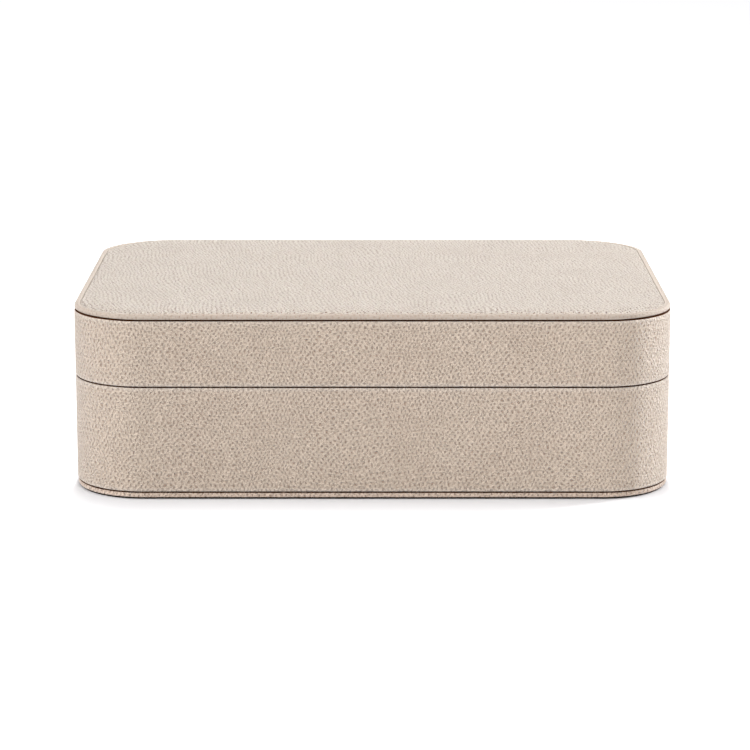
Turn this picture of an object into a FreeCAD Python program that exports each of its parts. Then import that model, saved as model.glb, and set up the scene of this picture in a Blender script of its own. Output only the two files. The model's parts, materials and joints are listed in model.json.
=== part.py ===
import FreeCAD, Part
import Sketcher
import math
import os

# Leather box with a padded lid on two hinges, for papers and keepsakes.
# Millimetres. +X is the right of the box, -Y its front and +Z up. The origin is under the middle of the
# box, on the surface that it stands on.

SIZES = {
    # The whole box
    "box_width": 280.0,  # left to right
    "box_depth": 200.0,  # front to back
    "corner_radius": 33.0,  # of the upright corners, outside
    "seam_gap": 0.6,  # height of the dark seams, and of the parting line
    # Walls, from the outside in
    "leather_thickness": 1.2,
    "leather_roll": 0.7,  # rounding of the leather where it turns over an edge
    "frame_wall": 8.0,
    "lining_thickness": 1.8,
    "edge_turn_in": 3.0,  # width of the leather turned over the hidden edge of a frame
    # Bottom
    "felt_thickness": 0.9,
    "felt_inset": 1.6,
    "bottom_card": 1.0,
    "bottom_leather": 0.6,
    "bottom_inset": 0.3,  # how far the bottom board stands in from the wall above it
    "bottom_turn_in": 12.0,
    # Base
    "base_band_height": 49.4,
    "floor_thickness": 3.0,
    "floor_pad_thickness": 2.5,
    "floor_pad_roll": 1.2,
    "floor_pad_clearance": 0.1,
    "lip_height": 3.0,  # how far the base's lining stands above its rim
    "lip_clearance": 0.4,
    "lining_roll": 0.5,
    # Lid
    "lid_band_height": 30.8,
    "top_board_thickness": 3.0,
    "top_board_clearance": 0.1,
    "ceiling_thickness": 2.0,
    "ceiling_clearance": 0.1,
    "welt_width": 3.0,
    "welt_height": 2.5,
    "welt_roll": 0.9,
    "welt_drop": 0.6,  # how far the welt hangs below its flange
    "welt_flange_thickness": 0.6,
    "welt_flange_width": 6.6,
    "crease_gap": 0.1,  # between the welt and the padded panel
    "panel_side": 0.5,  # upright part of the padded panel's edge
    "crown_width": 9.0,
    "crown_height": 1.7,
    "top_leather": 0.8,
    # Hinges
    "hinge_length": 34.0,
    "hinge_spacing": 140.0,  # middle to middle
    "hinge_axis_inset": 2.6,  # of the hinge line, from the back of the box
    "knuckle_radius": 2.2,
    "knuckle_gap": 0.2,
    "pin_radius": 1.0,
    "pin_clearance": 0.04,
    "barrel_clearance": 0.35,
    "leaf_clearance": 0.15,
    "bevel_angle": 50.0,  # degrees, of each back edge; the two bevels stop the lid at twice this
    "stop_clearance": 0.15,
    "screw_radius": 0.7,
    "screw_head_radius": 1.25,
    "screw_head_height": 0.6,
    "screw_length": 8.0,
    "screw_spacing": 11.0,
    # Catch
    "magnet_radius": 3.0,
    "magnet_thickness": 3.0,
    "magnet_spacing": 150.0,
}
QUARTER_TURN = 90  # degrees
KNUCKLES = 5
SCREWS_PER_LEAF = 3
CROWN_STEPS = 6
ROLL_LIMIT_SHARE = 0.45  # the most of a wall that one rounded edge may take
BEVEL_REACH_SHARE = 2.0  # how far a bevel's cut runs on, as a share of what it has to cross
EDGE_TOLERANCE_SHARE = 0.0001  # of the box's width, when an edge is looked up by its place

doc = FreeCAD.newDocument("leather_box")
sheet = doc.addObject("Spreadsheet::Sheet", "sizes")
for row, (alias, number) in enumerate(SIZES.items(), start=1):
    sheet.set(f"A{row}", str(number))
    sheet.setAlias(f"A{row}", alias)
doc.recompute()

# Heights above the surface that the box stands on
FELT_TOP = "sizes.felt_thickness"
BOTTOM_TOP = f"({FELT_TOP} + sizes.bottom_card + 2 * sizes.bottom_leather)"
FLOOR_TOP = f"({BOTTOM_TOP} + sizes.floor_thickness)"
BASE_LOW = f"({BOTTOM_TOP} + sizes.seam_gap)"
BASE_RIM = f"({BASE_LOW} + sizes.base_band_height)"
LIP_TOP = f"({BASE_RIM} + sizes.lip_height)"
LID_RIM = f"({BASE_RIM} + sizes.seam_gap)"
LID_TOP = f"({LID_RIM} + sizes.lid_band_height)"
WELT_LOW = f"({LID_TOP} + sizes.seam_gap)"
WELT_TOP = f"({WELT_LOW} + sizes.welt_height)"
BOARD_TOP = f"({WELT_LOW} + sizes.welt_drop)"
BOARD_LOW = f"({BOARD_TOP} - sizes.top_board_thickness)"
CEILING_LOW = f"({BOARD_LOW} - sizes.ceiling_thickness)"
PANEL_LOW = f"({BOARD_TOP} + sizes.welt_flange_thickness)"

# Distances in from the outside of the box
FACE = "0"
CORE_OUT = "sizes.leather_thickness"
TURN_IN = "(sizes.leather_thickness + sizes.edge_turn_in)"
CORE_IN = "(sizes.leather_thickness + sizes.frame_wall)"
LINING_IN = f"({CORE_IN} + sizes.lining_thickness)"
PANEL_EDGE = "(sizes.welt_width + sizes.crease_gap)"

# The hinge line runs along X, in the middle of the parting line
AXIS_Y = "(sizes.box_depth / 2 - sizes.hinge_axis_inset)"
AXIS_Z = f"({BASE_RIM} + sizes.seam_gap / 2)"

sub_parts = []


def value(formula):
    return float(sheet.evalExpression(formula))


def bind(thing, **formulas):
    """Binds properties of an object to formulas of the sheet's sizes; x, y and z are its place."""
    places = {axis: f"Placement.Base.{axis}" for axis in "xyz"}
    for name, formula in formulas.items():
        thing.setExpression(places.get(name, name), formula)
    return thing


def keep(thing, label):
    """Lists an object as one of the box's sub-parts."""
    thing.Label = label
    sub_parts.append(thing)
    return thing


# Outlines and rings

def add_outline(sketch, inset):
    """Draws the box's rounded outline in a sketch, moved in by inset."""
    half_width = f"(sizes.box_width / 2 - {inset})"
    half_depth = f"(sizes.box_depth / 2 - {inset})"
    radius = f"(sizes.corner_radius - {inset})"
    curve = value(radius)
    centre_x = value(half_width) - curve
    centre_y = value(half_depth) - curve
    first = sketch.GeometryCount
    corners = ((1, 1), (-1, 1), (-1, -1), (1, -1))
    up = FreeCAD.Vector(0, 0, 1)
    quarter = math.pi / 2
    arcs = []
    for turn, (side_x, side_y) in enumerate(corners):
        circle = Part.Circle(FreeCAD.Vector(side_x * centre_x, side_y * centre_y, 0), up, curve)
        arcs.append(Part.ArcOfCircle(circle, turn * quarter, (turn + 1) * quarter))
    for arc, following in zip(arcs, arcs[1:] + arcs[:1]):
        sketch.addGeometry(arc)
        sketch.addGeometry(Part.LineSegment(arc.EndPoint, following.StartPoint))

    def constrain(formula, *terms):
        index = sketch.addConstraint(Sketcher.Constraint(*terms))
        if formula:
            sketch.setExpression(f"Constraints[{index}]", formula)

    start, end, origin = 1, 2, -1
    for turn in range(len(corners)):
        arc = first + 2 * turn
        line = arc + 1
        following = first + (2 * turn + 2) % (2 * len(corners))
        constrain(None, "Tangent", arc, end, line, start)
        constrain(None, "Tangent", line, end, following, start)
        constrain(None, "Horizontal" if turn % 2 == 0 else "Vertical", line)
        constrain(radius, "Radius", arc, curve)
    back, left, front, right = (first + 2 * turn + 1 for turn in range(len(corners)))
    constrain(half_depth, "DistanceY", origin, start, back, start, value(half_depth))
    constrain(half_depth, "DistanceY", front, start, origin, start, value(half_depth))
    constrain(half_width, "DistanceX", left, start, origin, start, value(half_width))
    constrain(half_width, "DistanceX", origin, start, right, start, value(half_width))


def outline_sketch(body, name, level, *insets):
    """A sketch at a height, with the box's outline at each inset."""
    sketch = body.newObject("Sketcher::SketchObject", name)
    plane = next(feature for feature in body.Origin.OriginFeatures if feature.Role == "XY_Plane")
    sketch.AttachmentSupport = [(plane, "")]
    sketch.MapMode = "FlatFace"
    sketch.setExpression("AttachmentOffset.Base.z", level)
    for inset in insets:
        add_outline(sketch, inset)
    return sketch


def new_body(name):
    return doc.addObject("PartDesign::Body", name)


def pad(body, name, low, high, *insets):
    """Pads the outline at one inset, or the ring between two, from one height to another."""
    feature = body.newObject("PartDesign::Pad", name)
    feature.Profile = outline_sketch(body, f"{name}_outline", low, *insets)
    return bind(feature, Length=f"{high} - {low}")


def inset_of(point):
    """How far a point lies in from the outside of the box, seen from above."""
    radius = value("sizes.corner_radius")
    past_x = abs(point.x) - value("sizes.box_width") / 2 + radius
    past_y = abs(point.y) - value("sizes.box_depth") / 2 + radius
    if past_x > 0 and past_y > 0:
        return radius - math.hypot(past_x, past_y)
    return radius - max(past_x, past_y)


def roll_edges(body, name, radius, wall, *places):
    """Rounds the level edges at each (height, inset), by radius but no more than the wall allows."""
    doc.recompute()
    base = body.Tip
    near = value("sizes.box_width") * EDGE_TOLERANCE_SHARE
    found = []
    for number, edge in enumerate(base.Shape.Edges, start=1):
        middle = edge.valueAt((edge.FirstParameter + edge.LastParameter) / 2)
        level = abs(edge.BoundBox.ZLength) < near
        for height, inset in places:
            at_height = abs(middle.z - value(height)) < near
            at_inset = abs(inset_of(middle) - value(inset)) < near
            if level and at_height and at_inset:
                found.append(f"Edge{number}")
    fillet = body.newObject("PartDesign::Fillet", name)
    fillet.Base = (base, found)
    return bind(fillet, Radius=f"min({radius}; {wall} * {ROLL_LIMIT_SHARE})")


# Blocks, cylinders and booleans

def block(name, length, width, height, x, y, z):
    thing = doc.addObject("Part::Box", name)
    return bind(thing, Length=length, Width=width, Height=height, x=x, y=y, z=z)


def rod(name, radius, length, x):
    """A cylinder along the hinge line, from x."""
    thing = doc.addObject("Part::Cylinder", name)
    thing.Placement.Rotation = FreeCAD.Rotation(FreeCAD.Vector(0, 1, 0), QUARTER_TURN)
    return bind(thing, Radius=radius, Height=length, x=x, y=AXIS_Y, z=AXIS_Z)


def disc(name, radius, height, x, y, z):
    thing = doc.addObject("Part::Cylinder", name)
    return bind(thing, Radius=radius, Height=height, x=x, y=y, z=z)


def fuse(name, things):
    thing = doc.addObject("Part::MultiFuse", name)
    thing.Shapes = things
    return thing


def group(name, things):
    """Separate solids that share one name."""
    thing = doc.addObject("Part::Compound", name)
    thing.Links = things
    return thing


def cut(name, base, tools):
    thing = doc.addObject("Part::Cut", name)
    thing.Base = base
    thing.Tool = tools[0] if len(tools) == 1 else fuse(f"{name}_cutters", tools)
    return thing


# Hinges: each has a leaf on the base, a leaf on the lid and a pin through both

SIDES = {"left": "-sizes.hinge_spacing / 2", "right": "sizes.hinge_spacing / 2"}
LEAF_FRONT = f"(sizes.box_depth / 2 - {CORE_IN})"
LEAF_BACK = f"({AXIS_Y} - sizes.knuckle_radius - sizes.knuckle_gap)"
LEAF_LOW = {"base": f"({BASE_RIM} - sizes.leather_thickness)", "lid": LID_RIM}
KNUCKLE_PITCH = f"(sizes.hinge_length / {KNUCKLES})"


def hinge_start(side):
    return f"({SIDES[side]} - sizes.hinge_length / 2)"


def screw(name, half, x):
    """A countersunk screw whose head is flush with a leaf's outer face."""
    y = f"({LEAF_FRONT} + {LEAF_BACK}) / 2"
    shank_length = "sizes.screw_length - sizes.screw_head_height"
    head = doc.addObject("Part::Cone", f"{name}_head")
    if half == "base":
        wide, narrow = "Radius2", "Radius1"
        head_low = f"{BASE_RIM} - sizes.screw_head_height"
        shank_low = f"{BASE_RIM} - sizes.screw_length"
    else:
        wide, narrow = "Radius1", "Radius2"
        head_low = LID_RIM
        shank_low = f"{LID_RIM} + sizes.screw_head_height"
    bind(head, Height="sizes.screw_head_height", x=x, y=y, z=head_low)
    bind(head, **{wide: "sizes.screw_head_radius", narrow: "sizes.screw_radius"})
    shank = disc(f"{name}_shank", "sizes.screw_radius", shank_length, x, y, shank_low)
    return fuse(name, [head, shank])


def screws(half):
    """The screws of both leaves of one half of the box."""
    made = []
    for side, middle in SIDES.items():
        for number in range(SCREWS_PER_LEAF):
            place = number - (SCREWS_PER_LEAF - 1) / 2
            x = f"{middle} + {place} * sizes.screw_spacing"
            made.append(screw(f"{half}_{side}_screw_{number}", half, x))
    return keep(group(f"{half}_hinge_screw_group", made), f"{half}_hinge_screws")


def leaf(half, side, screw_group):
    """A leaf with its knuckles: the base has the first, third and fifth, the lid those between."""
    name = f"{half}_{side}_leaf"
    start = hinge_start(side)
    thick = "sizes.leather_thickness"
    plate_width = f"{LEAF_BACK} - {LEAF_FRONT}"
    plate = block(f"{name}_plate", "sizes.hinge_length", plate_width, thick, start, LEAF_FRONT, LEAF_LOW[half])
    pieces = [plate]
    for number in range(0 if half == "base" else 1, KNUCKLES, 2):
        x = f"{start} + {number} * {KNUCKLE_PITCH} + sizes.knuckle_gap / 2"
        length = f"{KNUCKLE_PITCH} - sizes.knuckle_gap"
        web_width = f"{AXIS_Y} - {LEAF_BACK}"
        web = block(f"{name}_web_{number}", length, web_width, thick, x, LEAF_BACK, LEAF_LOW[half])
        pieces += [web, rod(f"{name}_knuckle_{number}", "sizes.knuckle_radius", length, x)]
    play = "0" if half == "base" else "sizes.pin_clearance"
    bore = rod(f"{name}_bore", f"sizes.pin_radius + {play}", "sizes.hinge_length", start)
    return keep(cut(name, fuse(f"{name}_blank", pieces), [bore, screw_group]), f"hinge_leaf_{half}_{side}")


def room_along_hinge(side):
    """Where the room for a hinge starts, and how long it is."""
    start = f"{hinge_start(side)} - sizes.leaf_clearance"
    length = "sizes.hinge_length + 2 * sizes.leaf_clearance"
    return start, length


def hinge_room(name, side):
    """The round notch in both back walls that a hinge's barrel turns in."""
    x, length = room_along_hinge(side)
    return rod(name, "sizes.knuckle_radius + sizes.barrel_clearance", length, x)


def leaf_window(name, half, side):
    """The window in the rim's leather that a leaf lies in."""
    x, length = room_along_hinge(side)
    width = f"{AXIS_Y} - {LEAF_FRONT}"
    return block(name, length, width, "sizes.leather_thickness", x, LEAF_FRONT, LEAF_LOW[half])


def bevel(name, half, skin):
    """The block that bevels a back edge, leaving a skin of leather to lie on what it cuts."""
    angle = "sizes.bevel_angle"
    lean = f"cos({angle}) * (sizes.seam_gap / 2 + {skin}) - sizes.stop_clearance - {skin}"
    reach = f"{BEVEL_REACH_SHARE} * (sizes.hinge_axis_inset + sizes.leather_thickness) / cos({angle})"
    y = f"{AXIS_Y} + ({lean}) / sin({angle})"
    z = f"{BASE_RIM} - {skin}" if half == "base" else f"{LID_RIM} + {skin}"
    turn = f"-{angle}" if half == "base" else f"{angle} - {QUARTER_TURN}"
    thing = doc.addObject("Part::Box", name)
    thing.Placement.Rotation = FreeCAD.Rotation(FreeCAD.Vector(1, 0, 0), value(turn))
    bind(thing, Length="sizes.box_width", Width=reach, Height=reach)
    return bind(thing, x="-sizes.box_width / 2", y=y, z=z, **{"Placement.Rotation.Angle": turn})


def magnets(half):
    """A pair of disc magnets in the front rim, flush with the frame under the leather."""
    y = "-(sizes.box_depth / 2 - sizes.leather_thickness - sizes.frame_wall / 2)"
    low = f"{BASE_RIM} - sizes.leather_thickness - sizes.magnet_thickness"
    z = low if half == "base" else f"{LID_RIM} + sizes.leather_thickness"
    made = []
    for name, sign in (("left", -1), ("right", 1)):
        x = f"{sign} * sizes.magnet_spacing / 2"
        made.append(disc(f"{half}_magnet_{name}", "sizes.magnet_radius", "sizes.magnet_thickness", x, y, z))
    return keep(group(f"{half}_magnet_pair", made), f"{half}_magnets")


# Walls of the base and the lid: a wooden ring, and leather round it

def walls(half, core, wrap):
    """Cuts the hinge's room and its bevel from a plain ring and its wrap, and keeps frame and leather."""
    screw_group = screws(half)
    magnet_pair = magnets(half)
    for side in SIDES:
        leaf(half, side, screw_group)
    rooms = [hinge_room(f"{half}_{side}_room", side) for side in SIDES]
    windows = [leaf_window(f"{half}_{side}_window", half, side) for side in SIDES]
    bevelled = cut(f"{half}_core_bevelled", core, [bevel(f"{half}_core_bevel", half, CORE_OUT)])
    frame = cut(f"{half}_ring", bevelled, [*rooms, screw_group, magnet_pair])
    keep(frame, f"{half}_frame")
    outside = cut(f"{half}_wrap_bevelled", wrap, [bevel(f"{half}_wrap_bevel", half, FACE)])
    skin = cut(f"{half}_skin", outside, [bevelled])
    leather = cut(f"{half}_leather", skin, [*rooms, *windows])
    keep(leather, f"{half}_band_leather")


def base_walls():
    core = new_body("base_core")
    core_top = f"({BASE_RIM} - sizes.leather_thickness)"
    pad(core, "base_core_inner", BOTTOM_TOP, core_top, TURN_IN, CORE_IN)
    pad(core, "base_core_outer", f"({BASE_LOW} + sizes.leather_thickness)", core_top, CORE_OUT, TURN_IN)
    wrap = new_body("base_wrap")
    pad(wrap, "base_wrap_outer", BASE_LOW, BASE_RIM, FACE, TURN_IN)
    pad(wrap, "base_wrap_rim", core_top, BASE_RIM, TURN_IN, CORE_IN)
    edges = ((BASE_LOW, FACE), (BASE_RIM, FACE))
    roll_edges(wrap, "base_wrap_roll", "sizes.leather_roll", "sizes.base_band_height", *edges)
    walls("base", core, wrap)


def lid_walls():
    core = new_body("lid_core")
    core_low = f"({LID_RIM} + sizes.leather_thickness)"
    pad(core, "lid_core_inner", core_low, BOARD_LOW, TURN_IN, CORE_IN)
    pad(core, "lid_core_outer", core_low, f"({LID_TOP} - sizes.leather_thickness)", CORE_OUT, TURN_IN)
    wrap = new_body("lid_wrap")
    pad(wrap, "lid_wrap_outer", LID_RIM, LID_TOP, FACE, TURN_IN)
    pad(wrap, "lid_wrap_rim", LID_RIM, core_low, TURN_IN, CORE_IN)
    edges = ((LID_RIM, FACE), (LID_TOP, FACE))
    roll_edges(wrap, "lid_wrap_roll", "sizes.leather_roll", "sizes.lid_band_height", *edges)
    walls("lid", core, wrap)


# Bottom

def bottom():
    felt = new_body("felt_sheet")
    pad(felt, "felt_pad", "0", FELT_TOP, "sizes.felt_inset")
    keep(felt, "bottom_felt")
    card_edge = "(sizes.bottom_inset + sizes.bottom_leather)"
    card_low = f"({FELT_TOP} + sizes.bottom_leather)"
    card_top = f"({card_low} + sizes.bottom_card)"
    card = new_body("bottom_card_body")
    pad(card, "bottom_card_sheet", card_low, card_top, card_edge)
    pad(card, "bottom_card_infill", card_top, BOTTOM_TOP, f"({card_edge} + sizes.bottom_turn_in)")
    keep(card, "bottom_board")
    wrap = new_body("bottom_wrap")
    pad(wrap, "bottom_wrap_sheet", FELT_TOP, BOTTOM_TOP, "sizes.bottom_inset")
    edges = ((FELT_TOP, "sizes.bottom_inset"), (BOTTOM_TOP, "sizes.bottom_inset"))
    roll_edges(wrap, "bottom_wrap_roll", "sizes.leather_roll", f"({BOTTOM_TOP} - {FELT_TOP})", *edges)
    keep(cut("bottom_skin", wrap, [card]), "bottom_leather")


# Inside of the base

def base_inside():
    floor = new_body("floor_panel")
    pad(floor, "floor_panel_sheet", BOTTOM_TOP, FLOOR_TOP, CORE_IN)
    keep(floor, "base_floor")
    lip_out = f"({CORE_IN} + sizes.lip_clearance)"
    lip_wall = "(sizes.lining_thickness - sizes.lip_clearance)"
    lining = new_body("base_lining")
    pad(lining, "base_lining_wall", FLOOR_TOP, BASE_RIM, CORE_IN, LINING_IN)
    pad(lining, "base_lining_lip", BASE_RIM, LIP_TOP, lip_out, LINING_IN)
    edges = ((LIP_TOP, lip_out), (LIP_TOP, LINING_IN))
    roll_edges(lining, "base_lining_roll", "sizes.lining_roll", lip_wall, *edges)
    keep(lining, "base_wall_lining")
    cushion_edge = f"({LINING_IN} + sizes.floor_pad_clearance)"
    cushion_top = f"({FLOOR_TOP} + sizes.floor_pad_thickness)"
    cushion = new_body("floor_cushion")
    pad(cushion, "floor_cushion_sheet", FLOOR_TOP, cushion_top, cushion_edge)
    edge = (cushion_top, cushion_edge)
    roll_edges(cushion, "floor_cushion_roll", "sizes.floor_pad_roll", "sizes.floor_pad_thickness", edge)
    keep(cushion, "base_floor_pad")


# Top and inside of the lid

def crowned_panel(name, skin):
    """The padded panel's outline, rounded over to a flat crown, and drawn in all over by a skin."""
    body = new_body(name)
    edge = f"({PANEL_EDGE} + {skin})"
    foot = outline_sketch(body, f"{name}_foot", PANEL_LOW, edge)
    sections = []
    for step in range(CROWN_STEPS + 1):
        angle = f"({step} * {QUARTER_TURN} / {CROWN_STEPS})"
        inset = f"({edge} + sizes.crown_width * (1 - cos({angle})))"
        level = f"{PANEL_LOW} + sizes.panel_side + (sizes.crown_height - {skin}) * sin({angle})"
        sections.append(outline_sketch(body, f"{name}_section_{step}", level, inset))
    loft = body.newObject("PartDesign::AdditiveLoft", f"{name}_loft")
    loft.Profile = foot
    loft.Sections = sections
    loft.Ruled = True
    return body


def lid_top():
    board = new_body("top_board_body")
    pad(board, "top_board_sheet", BOARD_LOW, BOARD_TOP, f"({TURN_IN} + sizes.top_board_clearance)")
    keep(board, "lid_top_board")
    welt = new_body("welt")
    flange_in = "(sizes.welt_width + sizes.welt_flange_width)"
    pad(welt, "welt_bead", WELT_LOW, WELT_TOP, FACE, "sizes.welt_width")
    pad(welt, "welt_flange", BOARD_TOP, PANEL_LOW, "sizes.welt_width", flange_in)
    edges = ((WELT_LOW, FACE), (WELT_TOP, FACE), (WELT_TOP, "sizes.welt_width"))
    roll_edges(welt, "welt_roll_edges", "sizes.welt_roll", "min(sizes.welt_width; sizes.welt_height)", *edges)
    keep(welt, "lid_welt")
    foam = keep(crowned_panel("panel_foam", "sizes.top_leather"), "lid_top_foam")
    cover = crowned_panel("panel_cover", FACE)
    keep(cut("panel_skin", cover, [foam]), "lid_top_leather")


def lid_inside():
    ceiling = new_body("ceiling")
    pad(ceiling, "ceiling_card", CEILING_LOW, BOARD_LOW, f"({CORE_IN} + sizes.ceiling_clearance)")
    keep(ceiling, "lid_ceiling_lining")
    lining = new_body("lid_lining")
    pad(lining, "lid_lining_wall", LIP_TOP, CEILING_LOW, CORE_IN, LINING_IN)
    keep(lining, "lid_wall_lining")


bottom()
base_walls()
base_inside()
lid_walls()
lid_inside()
lid_top()
for side in SIDES:
    pin = rod(f"{side}_pin", "sizes.pin_radius", "sizes.hinge_length", hinge_start(side))
    keep(pin, f"hinge_pin_{side}")
doc.recompute()

for thing in doc.Objects:
    if "Invalid" in thing.State or "Error" in thing.State:
        raise RuntimeError(f"{thing.Name} did not build: {thing.State}")
for thing in sub_parts:
    if thing.Shape.isNull() or not thing.Shape.isValid() or not thing.Shape.Solids:
        raise RuntimeError(f"{thing.Label} is not a sound solid")

os.makedirs("parts", exist_ok=True)
for thing in sub_parts:
    thing.Shape.exportStep(f"parts/{thing.Label}.step")
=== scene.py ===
import json
import math

import bmesh
import bpy
from mathutils import Color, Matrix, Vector


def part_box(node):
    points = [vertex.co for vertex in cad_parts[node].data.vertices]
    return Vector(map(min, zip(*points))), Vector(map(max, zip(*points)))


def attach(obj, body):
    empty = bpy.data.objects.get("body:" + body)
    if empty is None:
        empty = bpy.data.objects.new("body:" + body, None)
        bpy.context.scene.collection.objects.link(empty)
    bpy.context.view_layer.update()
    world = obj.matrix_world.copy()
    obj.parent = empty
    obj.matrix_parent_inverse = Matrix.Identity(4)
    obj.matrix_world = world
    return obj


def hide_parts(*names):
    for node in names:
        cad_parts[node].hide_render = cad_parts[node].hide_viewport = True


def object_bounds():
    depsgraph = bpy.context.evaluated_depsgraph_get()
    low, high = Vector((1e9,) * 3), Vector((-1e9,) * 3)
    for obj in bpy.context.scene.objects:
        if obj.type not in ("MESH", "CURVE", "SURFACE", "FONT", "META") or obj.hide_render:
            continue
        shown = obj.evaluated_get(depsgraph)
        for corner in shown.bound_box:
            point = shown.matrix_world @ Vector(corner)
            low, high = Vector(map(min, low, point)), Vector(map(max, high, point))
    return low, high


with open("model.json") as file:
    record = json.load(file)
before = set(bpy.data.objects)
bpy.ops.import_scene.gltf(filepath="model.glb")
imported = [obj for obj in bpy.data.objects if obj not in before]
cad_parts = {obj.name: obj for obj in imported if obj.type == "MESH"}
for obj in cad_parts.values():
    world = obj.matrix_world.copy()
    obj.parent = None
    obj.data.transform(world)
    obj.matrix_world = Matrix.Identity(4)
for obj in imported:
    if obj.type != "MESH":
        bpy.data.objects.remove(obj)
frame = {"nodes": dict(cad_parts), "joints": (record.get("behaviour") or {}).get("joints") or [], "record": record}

# Leather box with a padded lid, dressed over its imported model.
# Metres and degrees. +X is the right of the box, -Y its front and +Z up.

CAD_LOW, CAD_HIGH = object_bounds()

# Heights and insets read from the frame; an inset is a distance in from the outside of the box

BASE_LOW, BASE_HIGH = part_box("base_band_leather")
LID_LOW, LID_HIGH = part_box("lid_band_leather")
WELT_LOW, WELT_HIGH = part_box("lid_welt")
PANEL_LOW, PANEL_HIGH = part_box("lid_top_leather")
BOTTOM_LOW, BOTTOM_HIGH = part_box("bottom_leather")
PAD_LOW, PAD_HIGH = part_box("base_floor_pad")
FOAM_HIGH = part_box("lid_top_foam")[1]
TOP_BOARD_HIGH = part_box("lid_top_board")[1]
HALF_WIDTH = BASE_HIGH.x
HALF_DEPTH = BASE_HIGH.y
LEATHER = HALF_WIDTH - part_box("base_frame")[1].x
CORE_IN = HALF_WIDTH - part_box("base_floor")[1].x
PANEL_EDGE = HALF_WIDTH - PANEL_HIGH.x
TOP_LEATHER = PANEL_HIGH.x - FOAM_HIGH.x
BOTTOM_INSET = HALF_WIDTH - BOTTOM_HIGH.x
BOTTOM_LEATHER = BOTTOM_HIGH.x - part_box("bottom_board")[1].x
PAD_EDGE = HALF_WIDTH - PAD_HIGH.x
SEAM_GAP = LID_LOW.z - BASE_HIGH.z

# Small sizes that a node's box doesn't give

NEAR = 1e-6  # points this near each other are one
STEP = 0.0015  # between points along a leather surface
LEATHER_ROLL = 0.0007
EDGE_TURN_IN = 0.003
BOTTOM_TURN_IN = 0.012
WELT_FOOT_ROLL = 0.0006
WELT_ROUND_IN = 0.0013
WELT_ROUND_DOWN = 0.0019
WELT_INNER_ROLL = 0.00035
WELT_FLANGE = 0.0066
WELT_CORNER_FALL = 0.0002  # how much lower and further in the welt lies in the middle of a corner
WELT_CORNER_TUCK = 0.0008
CREASE_GAP = 0.0001
CROWN_WIDTH = 0.009
CROWN_FULLNESS = 0.5  # under 1, the panel's crown rises more steeply at its edge
CORNER_EASE = 1.5  # how much more slowly it rises in a corner
PANEL_SIDE = 0.0005
PAD_ROLL = 0.0012
STOP_CLEARANCE = 0.00015
BARREL_CLEARANCE = 0.00035
LEAF_CLEARANCE = 0.00015
CUT_OVERRUN = 0.001
BARREL_FACETS = 48
ROLL_STEPS = 6
DYED_SHADED_STEPS = 2  # of a roll, on the side of a seam; dyed dark, which also paints the seam's shade
DYED_SHADED_RIM_RINGS = 2  # of a rim, at its outer edge; dyed dark, which also paints the seam's shade
CROWN_STEPS = 16
SHARP_ANGLE = math.radians(45)

# The hinge line, and the bevels of the two back edges that stop the lid

HINGE = frame["joints"][0]
AXIS = Vector(HINGE["pos_m"])
BEVEL_ANGLE = math.radians(HINGE["range_deg"][1] / 2)
BEVEL_SLOPE = math.tan(BEVEL_ANGLE)


def bevel_start(skin):
    """Where a bevel begins, in y, on what lies a skin's thickness under the leather."""
    lean = math.cos(BEVEL_ANGLE) * (SEAM_GAP / 2 + skin) - STOP_CLEARANCE - skin
    return AXIS.y + lean / math.sin(BEVEL_ANGLE)


def corner_radius(node):
    """The radius of a node's upright corners, from the end of its straight front edge."""
    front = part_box(node)[0].y
    straight = max(v.co.x for v in frame["nodes"][node].data.vertices if v.co.y - front < NEAR)
    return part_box(node)[1].x - straight


CORNER_RADIUS = corner_radius("base_band_leather")


# Rings of points round the box

def side_stations(start, end, outward):
    """Points along a straight side, without its last one, each with the way out."""
    count = math.ceil((end - start).length / STEP)
    return [(start.lerp(end, step / count), outward) for step in range(count)]


def corner_stations(centre, first_angle):
    """Points round a quarter turn, without its last one, each with the way out."""
    count = math.ceil(CORNER_RADIUS * math.pi / 2 / STEP)
    made = []
    for step in range(count):
        angle = math.radians(first_angle) + step / count * math.pi / 2
        outward = Vector((math.cos(angle), math.sin(angle)))
        made.append((centre + CORNER_RADIUS * outward, outward))
    return made


def box_stations():
    """Points round the outside of the box, from the middle of its back by way of its left side."""
    x = HALF_WIDTH - CORNER_RADIUS
    y = HALF_DEPTH - CORNER_RADIUS
    back, left, front, right = (Vector(way) for way in ((0, 1), (-1, 0), (0, -1), (1, 0)))
    middle = Vector((0, HALF_DEPTH))
    made = side_stations(middle, Vector((-x, HALF_DEPTH)), back)
    made += corner_stations(Vector((-x, y)), 90)
    made += side_stations(Vector((-HALF_WIDTH, y)), Vector((-HALF_WIDTH, -y)), left)
    made += corner_stations(Vector((-x, -y)), 180)
    made += side_stations(Vector((-x, -HALF_DEPTH)), Vector((x, -HALF_DEPTH)), front)
    made += corner_stations(Vector((x, -y)), 270)
    made += side_stations(Vector((HALF_WIDTH, -y)), Vector((HALF_WIDTH, y)), right)
    made += corner_stations(Vector((x, y)), 0)
    made += side_stations(Vector((x, HALF_DEPTH)), middle, back)
    return made


STATIONS = box_stations()


def ring(inset, height):
    """Points once round the box. The inset and the height are numbers, or functions of a point's y and of its
    bend, which is 0 on a straight side and 1 in the middle of a corner."""
    points = []
    for place, outward in STATIONS:
        bend = abs(2 * outward.x * outward.y)
        depth = inset(place.y, bend) if callable(inset) else inset
        point = place - depth * outward
        z = height(point.y, bend) if callable(height) else height
        points.append(Vector((point.x, point.y, z)))
    return points


def drawn_to_middle(points, share):
    """A ring moved towards the line along the middle of the box, by a share of the way."""
    half_line = HALF_WIDTH - HALF_DEPTH
    moved = []
    for point in points:
        target = Vector((max(-half_line, min(half_line, point.x)), 0, point.z))
        moved.append(point.lerp(target, share))
    return moved


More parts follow.
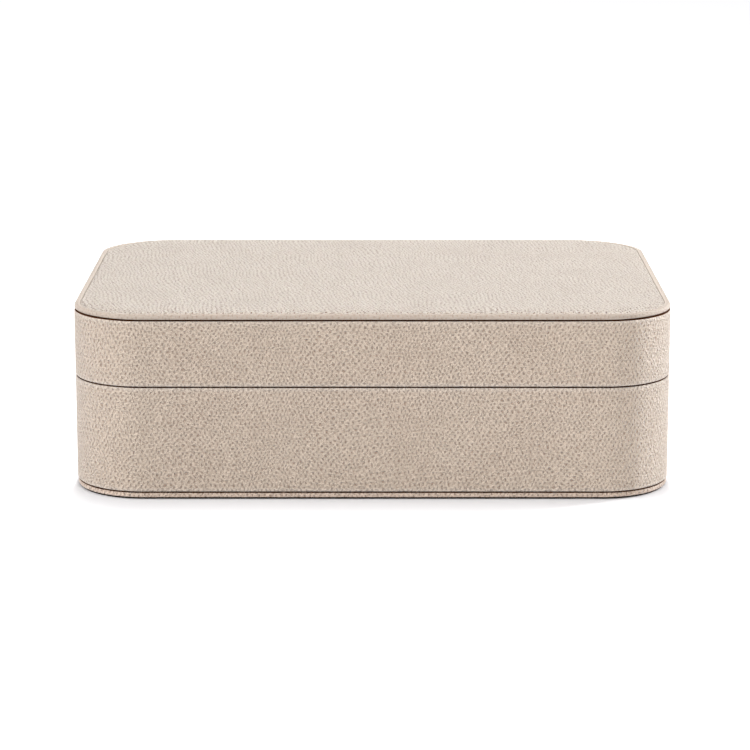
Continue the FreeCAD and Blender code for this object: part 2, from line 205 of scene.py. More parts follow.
def inner_rings(points):
    """Rings two steps apart from the one given to the middle of the box, which close a flat face."""
    count = math.ceil(HALF_DEPTH / (2 * STEP))
    return [drawn_to_middle(points, step / count) for step in range(1, count + 1)]


def quarter_roll(steps=ROLL_STEPS):
    """Pairs that go from (1, 0) to (0, 1) round a quarter circle, as distances from its outer corner."""
    made = []
    for step in range(steps + 1):
        angle = step / steps * math.pi / 2
        made.append((1 - math.sin(angle), 1 - math.cos(angle)))
    return made


def spread(start, end):
    """Numbers from start to end about a step apart, both included."""
    count = max(1, math.ceil(abs(end - start) / STEP))
    return [start + (end - start) * step / count for step in range(count + 1)]


# Meshes

def as_object(build, name):
    mesh = bpy.data.meshes.new(name)
    build.to_mesh(mesh)
    build.free()
    made = bpy.data.objects.new(name, mesh)
    bpy.context.scene.collection.objects.link(made)
    return made


def distances(values):
    """Running lengths along a list of points, from zero."""
    made = [0.0]
    for first, second in zip(values, values[1:]):
        made.append(made[-1] + (second - first).length)
    return made


def loft(name, rings, materials, closed=True, flat=False, highlit=(), dyed_and_shaded=()):
    """A mesh through rings. Closed joins the last to the first. Its texture lies round the box and along the
    rings, or is laid on from above if flat. The rings numbered in the highlight list are marked for a painted
    highlight along a rolled edge, and the faces between two rings numbered in the dye list take the second
    material, a dark edge dye that also paints the shade inside a seam."""
    count = len(STATIONS)
    around = distances([place for place, _ in STATIONS] + [STATIONS[0][0]])
    front = min(range(count), key=lambda number: rings[0][number].y)
    along = distances([points[front] for points in rings] + [rings[0][front]])
    build = bmesh.new()
    layer = build.loops.layers.uv.new("leather")
    # marks the rings of a rolled edge for a painted highlight
    edge_highlight = build.verts.layers.float.new("edge_highlight")
    rows = []
    for number, points in enumerate(rings):
        row = [build.verts.new(point) for point in points]
        for vertex in row:
            vertex[edge_highlight] = float(number in highlit)
        rows.append(row)
    for level in range(len(rings) if closed else len(rings) - 1):
        above = (level + 1) % len(rings)
        for station in range(count):
            beside = (station + 1) % count
            corners = (rows[level][station], rows[level][beside], rows[above][beside], rows[above][station])
            face = build.faces.new(corners)
            face.smooth = True
            # faces inside a seam take the dark dye, which also paints the seam's shade
            face.material_index = int(level in dyed_and_shaded and above in dyed_and_shaded)
            places = ((station, level), (station + 1, level), (station + 1, level + 1), (station, level + 1))
            for loop, (across, up) in zip(face.loops, places):
                loop[layer].uv = loop.vert.co.xy if flat else (around[across], along[up])
    bmesh.ops.remove_doubles(build, verts=build.verts, dist=NEAR)
    bmesh.ops.recalc_face_normals(build, faces=build.faces)
    piece = as_object(build, name)
    piece.data.set_sharp_from_angle(angle=SHARP_ANGLE)
    for material in materials:
        piece.data.materials.append(material)
    return piece


def carve(piece, cutters):
    """Cuts closed meshes out of a piece, and removes them."""
    for cutter in cutters:
        modifier = piece.modifiers.new(cutter.name, "BOOLEAN")
        modifier.object = cutter
        modifier.operation = "DIFFERENCE"
        modifier.solver = "EXACT"
    depsgraph = bpy.context.evaluated_depsgraph_get()
    carved = bpy.data.meshes.new_from_object(piece.evaluated_get(depsgraph))
    piece.modifiers.clear()
    piece.data = carved
    for cutter in cutters:
        bpy.data.objects.remove(cutter)


def dress(piece, body, slot, *nodes):
    """Puts a piece on its body, in place of the nodes that it stands for."""
    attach(piece, body)
    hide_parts(*nodes)


# Materials

NOISE_MIDDLE = (0.5, 0.5, 0.5)
NOISE_SPAN = (0.2, 0.8)  # where nearly all of a noise's values lie
NOISE_CORE = (0.3, 0.7)  # where most of them lie
WHITE = (1.0, 1.0, 1.0, 1.0)


def add(tree, kind, inputs=(), **settings):
    """A new node; inputs are pairs of a socket's name or number and a value or another node's output."""
    made = tree.nodes.new(kind)
    for name, setting in settings.items():
        setattr(made, name, setting)
    for socket, source in inputs:
        if isinstance(source, bpy.types.NodeSocket):
            tree.links.new(source, made.inputs[socket])
        else:
            made.inputs[socket].default_value = source
    return made


def maths(tree, operation, *values):
    return add(tree, "ShaderNodeMath", enumerate(values), operation=operation).outputs[0]


def vector_maths(tree, operation, *values):
    return add(tree, "ShaderNodeVectorMath", enumerate(values), operation=operation).outputs[0]


def blend_colour(tree, share, first, second):
    inputs = ((0, share), (6, first), (7, second))
    return add(tree, "ShaderNodeMix", inputs, data_type="RGBA").outputs[2]


def ramp(tree, source, low, high, new_low=0.0, new_high=1.0):
    """Maps a range smoothly to another."""
    inputs = ((0, source), (1, low), (2, high), (3, new_low), (4, new_high))
    return add(tree, "ShaderNodeMapRange", inputs, interpolation_type="SMOOTHSTEP").outputs[0]


def noise(tree, place, size, detail=2.0, dimensions="3D"):
    """Soft noise with features of about a size."""
    inputs = (("Vector", place), ("Scale", 1 / size), ("Detail", detail))
    return add(tree, "ShaderNodeTexNoise", inputs, noise_dimensions=dimensions)


def new_material(name):
    """An empty material with its tree to draw on, and its shader."""
    material = bpy.data.materials.new(name)
    material.use_nodes = True
    tree = material.node_tree
    return material, tree, tree.nodes["Principled BSDF"]


def finish(tree, shader, colour, height, depth, roughness):
    """Links a colour, a relief of a depth and a roughness to a shader."""
    bump = add(tree, "ShaderNodeBump", (("Height", height), ("Strength", 1.0), ("Distance", depth)))
    tree.links.new(colour, shader.inputs["Base Color"])
    tree.links.new(bump.outputs[0], shader.inputs["Normal"])
    tree.links.new(roughness, shader.inputs["Roughness"])


def object_place(tree):
    return add(tree, "ShaderNodeTexCoord").outputs["Object"]


def linear(red, green, blue):
    """A colour given as it looks on a screen, from 0 to 255, as the light that a shader works in."""
    screen = Color((red / 255, green / 255, blue / 255))
    return (*screen.from_srgb_to_scene_linear(), 1.0)


# Leather: staggered rows of small pits between soft bumps, which sway along the hide; the pits and folds are
# darkened, partly as dye and partly as painted shade

PIT_ACROSS = 0.0022  # between the pits of a row
PIT_ALONG = 0.0018  # between a row and the next, which is set over by half a pit
SWAY_SIZE = 0.04
SWAY_PUSH = 0.005
JITTER_SIZE = 0.0035
JITTER_PUSH = 0.0009
PIT_BANK = -0.25  # the levels of the wave between which a pit falls
PIT_FLOOR = -0.85
PIT_FALL = 0.9  # of the depth
# darkening in the pits: partly dye, partly painted shade
PIT_DYE_AND_SHADE = 0.5
FAINT_SIZE = 0.002
FAINT_SPAN = (0.25, 0.6)  # the noise's values from which a pit is faintest, and to which it is full
FAINTEST = 0.3
BUMP_SIZE = 0.0010
BUMP_RISE = 1.4  # of the depth
FOLD_START = 0.45  # the height of the bumps under which a fold begins to darken
FOLD_FLOOR = 0.25
# darkening in the folds: partly dye, partly painted shade
FOLD_DYE_AND_SHADE = 0.3
GRAIN_DEPTH = 0.0012
LEATHER_ROUGHNESS = (0.49, 0.67)  # on the bumps, and in the darkest pits
LEATHER_SHEEN = 0.5
LEATHER_SHEEN_ROUGHNESS = 0.35
CLOUD_SIZE = 0.03
CLOUD_SPAN = (0.35, 0.7)
CLOUD_SHARE = 0.05
# Painted highlight: rolled edges are mixed towards this pale colour
EDGE_HIGHLIGHT_SHARE = 0.3
EDGE_HIGHLIGHT_COLOUR = linear(232, 220, 208)
# the colour of the darkened pits and folds, partly dye and partly painted shade; the clouds mix towards it too
PIT_DYE_AND_SHADE_COLOUR = linear(128, 76, 36)


def pushed(tree, place, size, push):
    """A place moved about by soft noise."""
    drift = noise(tree, place, size, detail=1.0, dimensions="2D").outputs["Color"]
    drift = vector_maths(tree, "SUBTRACT", drift, NOISE_MIDDLE)
    drift = vector_maths(tree, "MULTIPLY", drift, (2 * push, 2 * push, 0))
    return vector_maths(tree, "ADD", place, drift)


def grain(tree, place, lean):
    """The height of the grain, and how dark its pits and folds are, partly as dye and partly as painted shade."""
    moved = pushed(tree, pushed(tree, place, SWAY_SIZE, SWAY_PUSH), JITTER_SIZE, JITTER_PUSH)
    turned = add(tree, "ShaderNodeMapping", (("Vector", moved), ("Rotation", (0, 0, math.radians(lean)))))
    turns = (2 * math.pi / PIT_ACROSS, math.pi / PIT_ALONG, 0)
    angles = vector_maths(tree, "MULTIPLY", turned.outputs[0], turns)
    across, along, _ = add(tree, "ShaderNodeSeparateXYZ", ((0, angles),)).outputs
    wave = maths(tree, "MULTIPLY", maths(tree, "COSINE", across), maths(tree, "COSINE", along))
    strength = noise(tree, place, FAINT_SIZE, detail=1.0, dimensions="2D").outputs["Fac"]
    strength = ramp(tree, strength, *FAINT_SPAN, FAINTEST, 1.0)
    pit = maths(tree, "MULTIPLY", ramp(tree, wave, PIT_BANK, PIT_FLOOR), strength)
    bumps = noise(tree, place, BUMP_SIZE, detail=1.5, dimensions="2D").outputs["Fac"]
    height = maths(tree, "MULTIPLY_ADD", pit, -PIT_FALL, maths(tree, "MULTIPLY", bumps, BUMP_RISE))
    fold = ramp(tree, bumps, FOLD_START, FOLD_FLOOR, 0.0, FOLD_DYE_AND_SHADE)
    return height, maths(tree, "MAXIMUM", fold, maths(tree, "MULTIPLY", pit, PIT_DYE_AND_SHADE))


def pebbled_leather(name, colour, lean=0.0, depth=GRAIN_DEPTH, darken=1.0, sheen=LEATHER_SHEEN):
    """Leather with its grain, which leans by an angle, and a painted highlight along its rolled edges."""
    material, tree, shader = new_material(name)
    place = add(tree, "ShaderNodeTexCoord").outputs["UV"]
    height, dark = grain(tree, place, lean)
    clouds = noise(tree, place, CLOUD_SIZE, detail=3.0, dimensions="2D").outputs["Fac"]
    shade = blend_colour(tree, ramp(tree, clouds, *CLOUD_SPAN, 0.0, CLOUD_SHARE), colour, PIT_DYE_AND_SHADE_COLOUR)
    # pits and folds darkened, partly as dye and partly as painted shade
    shade = blend_colour(tree, maths(tree, "MULTIPLY", dark, darken), shade, PIT_DYE_AND_SHADE_COLOUR)
    # painted highlight along the rolled edges
    edge_highlight = add(tree, "ShaderNodeAttribute", attribute_name="edge_highlight").outputs["Fac"]
    shade = blend_colour(tree, maths(tree, "MULTIPLY", edge_highlight, EDGE_HIGHLIGHT_SHARE), shade, EDGE_HIGHLIGHT_COLOUR)
    finish(tree, shader, shade, height, depth, ramp(tree, dark, 0.0, 1.0, *LEATHER_ROUGHNESS))
    shader.inputs["Sheen Weight"].default_value = sheen
    shader.inputs["Sheen Roughness"].default_value = LEATHER_SHEEN_ROUGHNESS
    return material


# Dyed leather inside a seam, whose dark dye also paints the shade in the gap

STREAK_SIZE = 0.0015
STREAK_DEPTH = 0.0001
DYED_ROUGHNESS = (0.6, 0.75)


def dyed_and_shaded_edge(name, light, dark):
    """Leather dyed dark along its edge, a little streaky; inside a seam the dark dye also paints the shade of the
    gap.
    """
    material, tree, shader = new_material(name)
    streaks = noise(tree, object_place(tree), STREAK_SIZE, detail=3.0).outputs["Fac"]
    colour = blend_colour(tree, ramp(tree, streaks, *NOISE_CORE), dark, light)
    finish(tree, shader, colour, streaks, STREAK_DEPTH, ramp(tree, streaks, *NOISE_SPAN, *DYED_ROUGHNESS))
    shader.inputs["Specular IOR Level"].default_value = 0.1
    return material


# Suede

STROKE_SIZE = 0.012
NAP_SIZE = 0.0004
NAP_DEPTH = 0.00005
NAP_SHARE = 0.7
STROKE_SHARE = 0.3
SUEDE_SPAN = (0.25, 0.75)
SUEDE_ROUGHNESS = (0.85, 1.0)


def suede(name, light, dark):
    """Short brushed nap, with soft cloudy strokes."""
    material, tree, shader = new_material(name)
    place = object_place(tree)
    strokes = noise(tree, place, STROKE_SIZE, detail=4.0).outputs["Fac"]
    nap = noise(tree, place, NAP_SIZE, detail=3.0).outputs["Fac"]
    share = maths(tree, "MULTIPLY_ADD", nap, NAP_SHARE, maths(tree, "MULTIPLY", strokes, STROKE_SHARE))
    colour = blend_colour(tree, ramp(tree, share, *SUEDE_SPAN), dark, light)
    finish(tree, shader, colour, nap, NAP_DEPTH, ramp(tree, nap, *NOISE_SPAN, *SUEDE_ROUGHNESS))
    shader.inputs["Specular IOR Level"].default_value = 0.2
    shader.inputs["Sheen Weight"].default_value = 0.5
    shader.inputs["Sheen Roughness"].default_value = 0.5
    return material


# Felt

WOOL_SIZE = 0.0012
FUZZ_SIZE = 0.0003
FUZZ_DEPTH = 0.00016
FELT_ROUGHNESS = (0.9, 1.0)


def felt(name, light, dark):
    """Pressed wool, with matted fibres."""
    material, tree, shader = new_material(name)
    place = object_place(tree)
    fibres = noise(tree, place, WOOL_SIZE, detail=6.0).outputs["Fac"]
    fuzz = noise(tree, place, FUZZ_SIZE).outputs["Fac"]
    colour = blend_colour(tree, ramp(tree, fibres, *NOISE_CORE), dark, light)
    finish(tree, shader, colour, fuzz, FUZZ_DEPTH, ramp(tree, fuzz, *NOISE_SPAN, *FELT_ROUGHNESS))
    shader.inputs["Specular IOR Level"].default_value = 0.1
    return material


# Wood and card

FIBRE_SIZE = 0.0015
FIBRE_DEPTH = 0.00003
FIBRE_SHARE = 0.5
FIGURE_SIZE = 0.012
FIGURE_SHARE = 0.5
BOARD_ROUGHNESS = (0.75, 0.6)


def board(name, light, dark, drawn_out):
    """Wood or card: fibres drawn out along the box's width."""
    material, tree, shader = new_material(name)
    place = vector_maths(tree, "MULTIPLY", object_place(tree), (1 / drawn_out, 1.0, 1.0))
    fibres = noise(tree, place, FIBRE_SIZE, detail=5.0).outputs["Fac"]
    figure = noise(tree, place, FIGURE_SIZE).outputs["Fac"]
    share = maths(tree, "MULTIPLY_ADD", figure, FIGURE_SHARE, maths(tree, "MULTIPLY", fibres, FIBRE_SHARE))
    colour = blend_colour(tree, ramp(tree, share, *NOISE_CORE), dark, light)
    finish(tree, shader, colour, fibres, FIBRE_DEPTH, ramp(tree, fibres, *NOISE_SPAN, *BOARD_ROUGHNESS))
    return material


# Foam

CELL_SIZE = 0.0006
CELL_DEPTH = 0.00014
CELL_SPAN = (0.1, 0.6)  # of the distance from a cell's middle
FOAM_ROUGHNESS = (0.95, 0.85)


def foam(name, light, dark):
    """Open foam, with small round cells."""
    material, tree, shader = new_material(name)
    cells = add(tree, "ShaderNodeTexVoronoi", (("Vector", object_place(tree)), ("Scale", 1 / CELL_SIZE)))
    wall = ramp(tree, cells.outputs["Distance"], *CELL_SPAN)
    colour = blend_colour(tree, wall, dark, light)
    finish(tree, shader, colour, wall, CELL_DEPTH, ramp(tree, wall, 0.0, 1.0, *FOAM_ROUGHNESS))
    return material


# Metal

BRUSH_DRAWN_OUT = 25.0  # times as long along the box's width
LINE_SIZE = 0.00012
LINE_DEPTH = 0.0000075
LINE_ROUGHNESS = 0.1
TARNISH_SIZE = 0.004
TARNISH_SPAN = (0.4, 0.75)
TARNISH_ROUGHNESS = 0.2


def metal(name, light, dark, rough):
    """Satin metal, brushed along the box's width, with a little tarnish."""
    material, tree, shader = new_material(name)
    place = object_place(tree)
    brushed = vector_maths(tree, "MULTIPLY", place, (1 / BRUSH_DRAWN_OUT, 1.0, 1.0))
    lines = noise(tree, brushed, LINE_SIZE, detail=3.0).outputs["Fac"]
    tarnish = noise(tree, place, TARNISH_SIZE, detail=4.0).outputs["Fac"]
    colour = blend_colour(tree, ramp(tree, tarnish, *TARNISH_SPAN), light, dark)
    roughness = maths(tree, "MULTIPLY_ADD", lines, LINE_ROUGHNESS, rough)
    roughness = maths(tree, "MULTIPLY_ADD", tarnish, TARNISH_ROUGHNESS, roughness)
    finish(tree, shader, colour, lines, LINE_DEPTH, roughness)
    shader.inputs["Metallic"].default_value = 1.0
    return material


# The box's materials

BAND_LEATHER = pebbled_leather("band_leather", linear(210, 192, 174))
# A paler copy of the band leather: its paler colour paints the reflection of the bright surroundings seen on the
# top at a grazing view, and its stronger pit darkening paints the shade of raking light
TOP_LEATHER_PAINTED_LIT = pebbled_leather("top_leather", linear(216, 203, 188), lean=20.0, depth=0.0017, darken=1.8)
# A darker copy of the band leather, which paints shade on the welt's rounding against the light that falls on it
# from the left
WELT_LEATHER_PAINTED_SHADED = pebbled_leather("welt_leather_painted_shaded", linear(176, 162, 149), depth=0.0003, darken=0.5, sheen=0.1)
# A paler copy of the band leather, which paints the light that the bottom edge catches from the left and from the
# floor
BOTTOM_LEATHER_PAINTED_LIT = pebbled_leather("bottom_leather", linear(226, 203, 184))
# Dark edge dye, which also paints the shade inside the seams
SEAM_DYE_AND_SHADE = dyed_and_shaded_edge("leather_edge_dye_and_shade", light=linear(100, 58, 28), dark=linear(74, 40, 18))
SUEDE = suede("suede_lining", light=linear(150, 126, 106), dark=linear(112, 92, 76))
# Felt darkened nearly to black, which also paints the contact shadow under the box
FELT_AND_CONTACT_SHADOW = felt("felt", light=linear(52, 42, 34), dark=linear(30, 24, 20))
WOOD = board("wood_board", light=linear(206, 176, 134), dark=linear(166, 132, 92), drawn_out=14.0)
CARD = board("card", light=linear(176, 160, 140), dark=linear(140, 124, 106), drawn_out=2.0)
FOAM = foam("foam", light=linear(232, 226, 208), dark=linear(190, 180, 158))
BRASS = metal("hinge_brass", light=linear(214, 178, 112), dark=linear(168, 130, 74), rough=0.28)
NICKEL = metal("magnet", light=linear(206, 204, 200), dark=linear(168, 166, 162), rough=0.25)


# Leather bands of the base and the lid

def band(name, rim, edge):
    """The leather round a wall: over its rim, down its outside, and turned in over its other edge."""
    way = 1 if rim > edge else -1
    turn_in = LEATHER + EDGE_TURN_IN

    def rim_height(y, bend):
        return rim - way * max(0.0, y - bevel_start(0)) * BEVEL_SLOPE

    def core_height(y, bend):
        return rim - way * (LEATHER + max(0.0, y - bevel_start(LEATHER)) * BEVEL_SLOPE)

    def down_face(share):
        foot = edge + way * LEATHER_ROLL
        return lambda y, bend: (rim_height(y, bend) - way * LEATHER_ROLL) * (1 - share) + foot * share

    def dropped(drop):
        return lambda y, bend: rim_height(y, bend) - way * drop

    rings = [ring(inset, rim_height) for inset in spread(CORE_IN, LEATHER_ROLL)[:-1]]
    # the rim's outer edge and the roll beside the seam take the dark dye, which also paints the seam's shade
    dyed_and_shaded = list(range(len(rings) - DYED_SHADED_RIM_RINGS, len(rings) + DYED_SHADED_STEPS))
    # the rolls at the rim and at the edge get a painted highlight
    highlit = []
    for inset, drop in quarter_roll():
        highlit.append(len(rings))
        rings.append(ring(inset * LEATHER_ROLL, dropped(drop * LEATHER_ROLL)))
    rows = math.ceil((abs(rim - edge) - 2 * LEATHER_ROLL) / STEP)
    for row in range(1, rows):
        rings.append(ring(0, down_face(row / rows)))
    for inset, drop in reversed(quarter_roll()):
        highlit.append(len(rings))
        rings.append(ring(inset * LEATHER_ROLL, edge + way * drop * LEATHER_ROLL))
    # the roll at the other seam takes the dark dye, also as painted shade
    dyed_and_shaded += range(len(rings) - 1 - DYED_SHADED_STEPS, len(rings) + 1)
    rings.append(ring(turn_in, edge))
    rings.append(ring(turn_in, edge + way * LEATHER))
    rings.append(ring(LEATHER, edge + way * LEATHER))
    rings.append(ring(LEATHER, core_height))
    rings.append(ring(CORE_IN, core_height))
    return loft(name, rings, (BAND_LEATHER, SEAM_DYE_AND_SHADE), highlit=highlit, dyed_and_shaded=dyed_and_shaded)


def hinge_cutters(half, rim):
    """The room that a hinge's leaf and barrel take out of the leather."""
    made = []
    way = -1 if half == "base" else 1
    for side in ("left", "right"):
        low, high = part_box(f"hinge_leaf_{half}_{side}")
        middle = (low.x + high.x) / 2
        length = high.x - low.x + 2 * LEAF_CLEARANCE
        front = low.y - CUT_OVERRUN
        window = bmesh.new()
        bmesh.ops.create_cube(window, size=1.0)
        size = Vector((length, AXIS.y - front, LEATHER + 2 * CUT_OVERRUN))
        bmesh.ops.scale(window, vec=size, verts=window.verts)
        centre = Vector((middle, (AXIS.y + front) / 2, rim + way * LEATHER / 2))
        bmesh.ops.translate(window, vec=centre, verts=window.verts)
        made.append(as_object(window, f"{half}_{side}_window"))
        barrel = bmesh.new()
        radius = high.y - AXIS.y + BARREL_CLEARANCE
        bmesh.ops.create_cone(barrel, cap_ends=True, segments=BARREL_FACETS, radius1=radius, radius2=radius,
                              depth=length)
        turn = Vector((0, 0, 1)).rotation_difference(Vector((1, 0, 0))).to_matrix()
        bmesh.ops.rotate(barrel, matrix=turn, verts=barrel.verts)
        bmesh.ops.translate(barrel, vec=Vector((middle, AXIS.y, AXIS.z)), verts=barrel.verts)
        made.append(as_object(barrel, f"{half}_{side}_barrel"))
    return made


def bands():
    for half, rim, edge in (("base", BASE_HIGH.z, BASE_LOW.z), ("lid", LID_LOW.z, LID_HIGH.z)):
        piece = band(f"{half}_leather_band", rim, edge)
        carve(piece, hinge_cutters(half, rim))
        dress(piece, half, "band_leather", f"{half}_band_leather")


# Lid top

def welt():
    """The rolled welt round the top, with the flange that the padded panel sits on."""
    width = PANEL_EDGE - CREASE_GAP
    flange = width + WELT_FLANGE
    low, high = WELT_LOW.z, WELT_HIGH.z
    flange_low, flange_high = TOP_BOARD_HIGH.z, PANEL_LOW.z

    def outer_ring(inset, z):
        """A ring of the welt's roll, which lies lower and further in at the corners."""
        tuck = WELT_CORNER_TUCK * (1 - inset / width)
        fall = WELT_CORNER_FALL * (z - low) / (high - low)
        return ring(lambda y, bend: inset + tuck * bend, lambda y, bend: z - fall * bend)

    rings = []
    for inset, drop in quarter_roll():
        rings.append(outer_ring(inset * WELT_FOOT_ROLL, low + drop * WELT_FOOT_ROLL))
    for inset, drop in reversed(quarter_roll()):
        rings.append(outer_ring(inset * WELT_ROUND_IN, high - drop * WELT_ROUND_DOWN))
    # the welt's inner roll gets a painted highlight
    highlit = []
    for inset, drop in quarter_roll():
        highlit.append(len(rings))
        rings.append(outer_ring(width - inset * WELT_INNER_ROLL, high - drop * WELT_INNER_ROLL))
    rings += [ring(width, flange_high), ring(flange, flange_high)]
    rings += [ring(flange, flange_low), ring(width, flange_low), ring(width, low)]
    # the welt's foot, in the seam, takes the dark dye, also as painted shade
    dyed_and_shaded = (*range(DYED_SHADED_STEPS + 1), len(rings) - 1)
    piece = loft("top_welt", rings, (WELT_LEATHER_PAINTED_SHADED, SEAM_DYE_AND_SHADE), highlit=highlit, dyed_and_shaded=dyed_and_shaded)
    dress(piece, "lid", "top_leather", "lid_welt")


def crown(edge, foot, top):
    """Rings up a padded panel's side and over its crown, which is softer at the corners, to the middle."""
    rings = [ring(edge, foot)]
    side = foot + PANEL_SIDE

    def crown_height(share):
        return lambda y, bend: side + (top - side) * share ** (CROWN_FULLNESS + CORNER_EASE * bend)

    for step in range(CROWN_STEPS + 1):
        angle = step / CROWN_STEPS * math.pi / 2
        rings.append(ring(edge + CROWN_WIDTH * (1 - math.cos(angle)), crown_height(math.sin(angle))))
    return rings + inner_rings(rings[-1])


def padded_top():
    """The top panel's leather, and the foam that fills it."""
    outside = crown(PANEL_EDGE, PANEL_LOW.z, PANEL_HIGH.z)
    inside = crown(PANEL_EDGE + TOP_LEATHER, PANEL_LOW.z, FOAM_HIGH.z)
    leather = loft("top_panel", list(reversed(inside)) + outside, (TOP_LEATHER_PAINTED_LIT,), closed=False, flat=True)
    dress(leather, "lid", "top_leather", "lid_top_leather")
    under = inner_rings(inside[0])
    filling = loft("top_foam", list(reversed(under)) + inside, (FOAM,), closed=False, flat=True)
    dress(filling, "lid", "foam", "lid_top_foam")


# Bottom

def bottom_wrap():
    """The leather wrapped round the bottom card and turned in on top."""
    edge = BOTTOM_INSET + BOTTOM_LEATHER
    low, high = BOTTOM_LOW.z, BOTTOM_HIGH.z
    card_low, card_high = low + BOTTOM_LEATHER, high - BOTTOM_LEATHER
    under_card = ring(edge, card_low)
    rings = list(reversed(inner_rings(under_card)))
    rings += [under_card, ring(edge, card_high), ring(edge + BOTTOM_TURN_IN, card_high)]
    turned_in = len(rings)
    rings.append(ring(edge + BOTTOM_TURN_IN, high))
    # the turn-in and the roll at the bottom seam take the dark dye, also as painted shade
    dyed_and_shaded = range(turned_in, len(rings) + 1 + DYED_SHADED_STEPS)
    for inset, drop in quarter_roll():
        rings.append(ring(BOTTOM_INSET + inset * LEATHER_ROLL, high - drop * LEATHER_ROLL))
    for inset, drop in reversed(quarter_roll()):
        rings.append(ring(BOTTOM_INSET + inset * LEATHER_ROLL, low + drop * LEATHER_ROLL))
    rings += inner_rings(rings[-1])
    piece = loft("bottom_wrap", rings, (BOTTOM_LEATHER_PAINTED_LIT, SEAM_DYE_AND_SHADE), closed=False, dyed_and_shaded=dyed_and_shaded)
    dress(piece, "base", "bottom_leather", "bottom_leather")


# Inside of the base

def floor_pad():
    """The suede pad on the floor, rounded over at its edge."""
    low, high = PAD_LOW.z, PAD_HIGH.z
    foot = ring(PAD_EDGE, low)
    rings = list(reversed(inner_rings(foot))) + [foot]
    for inset, drop in reversed(quarter_roll()):
        rings.append(ring(PAD_EDGE + inset * PAD_ROLL, high - drop * PAD_ROLL))
    rings += inner_rings(rings[-1])
    piece = loft("floor_pad", rings, (SUEDE,), closed=False, flat=True)
    dress(piece, "base", "suede_lining", "base_floor_pad")


def finish_nodes():
    """Gives every node its material, by its slot in the record."""
    finishes = {"wood_board": WOOD, "suede_lining": SUEDE, "card": CARD, "felt": FELT_AND_CONTACT_SHADOW, "magnet": NICKEL,
                "hinge_brass": BRASS, "foam": FOAM, "band_leather": BAND_LEATHER,
                "top_leather": TOP_LEATHER_PAINTED_LIT, "bottom_leather": BOTTOM_LEATHER_PAINTED_LIT}
    for part in frame["record"]["subparts"]:
        slots = frame["nodes"][part["node"]].material_slots
        for slot in slots:
            slot.material = finishes[part["material_slot"]]


# Floor, light and camera

def sees_background(tree):
    """One for the camera's rays, and for those that shiny and clear surfaces send on; otherwise zero."""
    path = add(tree, "ShaderNodeLightPath").outputs
    shiny = maths(tree, "MAXIMUM", path["Is Camera Ray"], path["Is Glossy Ray"])
    return maths(tree, "MAXIMUM", shiny, path["Is Transmission Ray"])


FLOOR_SIZE = 14.0
FLOOR_COLOUR = linear(222, 222, 224)
FLOOR_LIFT = 0.6  # white added to what the camera sees of the floor, away from the box; where it fades near the box it paints the edge of the box's real shadow
SHADOW_SIDE_REACH = 0.002  # how far from the box's sides the floor turns white, and from its front and back: a painted shadow edge, short at the sides and long in front
SHADOW_FRONT_REACH = 0.065
WORLD_LIGHT = 0.44
WORLD_WHITE = 1.0


def shadow_edge_share(tree):
    """How far a point of the floor lies outside the rounded box, as a share of the reach of the painted shadow
    edge there.
    """
    place = vector_maths(tree, "ABSOLUTE", object_place(tree))
    straight = (HALF_WIDTH - CORNER_RADIUS, HALF_DEPTH - CORNER_RADIUS, 0)
    beyond = vector_maths(tree, "MAXIMUM", vector_maths(tree, "SUBTRACT", place, straight), (0, 0, 0))
    length = add(tree, "ShaderNodeVectorMath", ((0, beyond),), operation="LENGTH").outputs["Value"]
    facing = add(tree, "ShaderNodeSeparateXYZ", ((0, vector_maths(tree, "NORMALIZE", beyond)),)).outputs["Y"]
    turn = maths(tree, "POWER", facing, 2.0)
    reach = maths(tree, "MULTIPLY_ADD", turn, SHADOW_FRONT_REACH - SHADOW_SIDE_REACH, SHADOW_SIDE_REACH)
    return maths(tree, "DIVIDE", maths(tree, "SUBTRACT", length, CORNER_RADIUS), reach)


def studio_floor():
    material, tree, shader = new_material("studio_floor")
    shader.inputs["Base Color"].default_value = FLOOR_COLOUR
    shader.inputs["Roughness"].default_value = 1.0
    shader.inputs["Specular IOR Level"].default_value = 0.0
    shader.inputs["Emission Color"].default_value = WHITE
    # the glow fades near the box: the real shadow shows there, and the ramp paints where the shadow ends
    lift = ramp(tree, shadow_edge_share(tree), 0.0, 1.0, 0.0, FLOOR_LIFT)
    tree.links.new(maths(tree, "MULTIPLY", sees_background(tree), lift), shader.inputs["Emission Strength"])
    build = bmesh.new()
    bmesh.ops.create_grid(build, x_segments=1, y_segments=1, size=FLOOR_SIZE / 2)
    floor = as_object(build, "studio_floor")
    floor.data.materials.append(material)


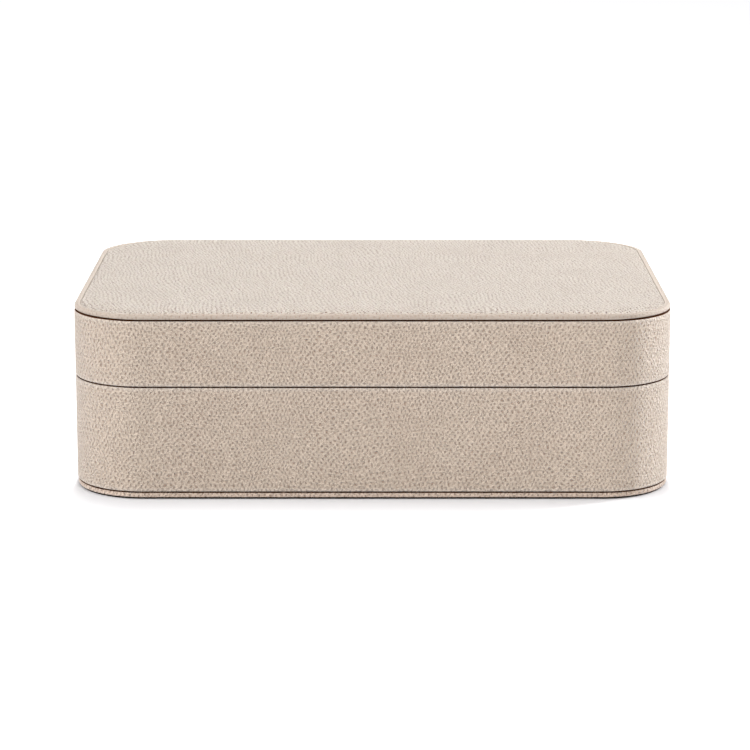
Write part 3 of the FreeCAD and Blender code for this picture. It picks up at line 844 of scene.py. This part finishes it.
def studio_world():
    world = bpy.data.worlds.new("studio")
    world.use_nodes = True
    tree = world.node_tree
    light = add(tree, "ShaderNodeMix", ((0, sees_background(tree)), (2, WORLD_LIGHT), (3, WORLD_WHITE)))
    tree.links.new(light.outputs[0], tree.nodes["Background"].inputs["Strength"])
    tree.nodes["Background"].inputs["Color"].default_value = WHITE
    bpy.context.scene.world = world


def softbox(name, place, width, height, power):
    """A rectangular lamp at a place, facing the middle of the box."""
    data = bpy.data.lights.new(name, "AREA")
    data.shape = "RECTANGLE"
    data.size = width
    data.size_y = height
    data.energy = power
    lamp = bpy.data.objects.new(name, data)
    bpy.context.scene.collection.objects.link(lamp)
    lamp.location = place
    middle = Vector((0, 0, CAD_HIGH.z / 2))
    lamp.rotation_euler = (middle - Vector(place)).to_track_quat("-Z", "Y").to_euler()


def lamps():
    softbox("overhead", place=(0, 0, 1.5), width=1.0, height=1.2, power=12.5)
    softbox("left_key", place=(-2.3, -0.35, 0.9), width=0.8, height=1.1, power=39.0)
    softbox("right_rim", place=(1.25, 0.5, 0.5), width=0.25, height=0.6, power=19.0)
    softbox("front_fill", place=(0.3, -1.75, 0.95), width=1.2, height=0.8, power=15.0)


CAMERA_DISTANCE = 1.35
CAMERA_PITCH = math.radians(12.57)
CAMERA_AIM = Vector((0, 0, 0.042))
CAMERA_LENS = 130.3  # millimetres, on a sensor 36 wide
CAMERA_SHIFT = (0.0034, -0.0140)


def camera():
    data = bpy.data.cameras.new("camera")
    data.lens = CAMERA_LENS
    data.shift_x, data.shift_y = CAMERA_SHIFT
    eye = bpy.data.objects.new("camera", data)
    back = Vector((0, -math.cos(CAMERA_PITCH), math.sin(CAMERA_PITCH)))
    eye.location = CAMERA_AIM + CAMERA_DISTANCE * back
    eye.rotation_euler = (-back).to_track_quat("-Z", "Y").to_euler()
    bpy.context.scene.collection.objects.link(eye)
    bpy.context.scene.camera = eye


bands()
welt()
padded_top()
bottom_wrap()
floor_pad()
finish_nodes()
studio_floor()
studio_world()
lamps()
camera()
bpy.context.scene.view_settings.view_transform = "Standard"
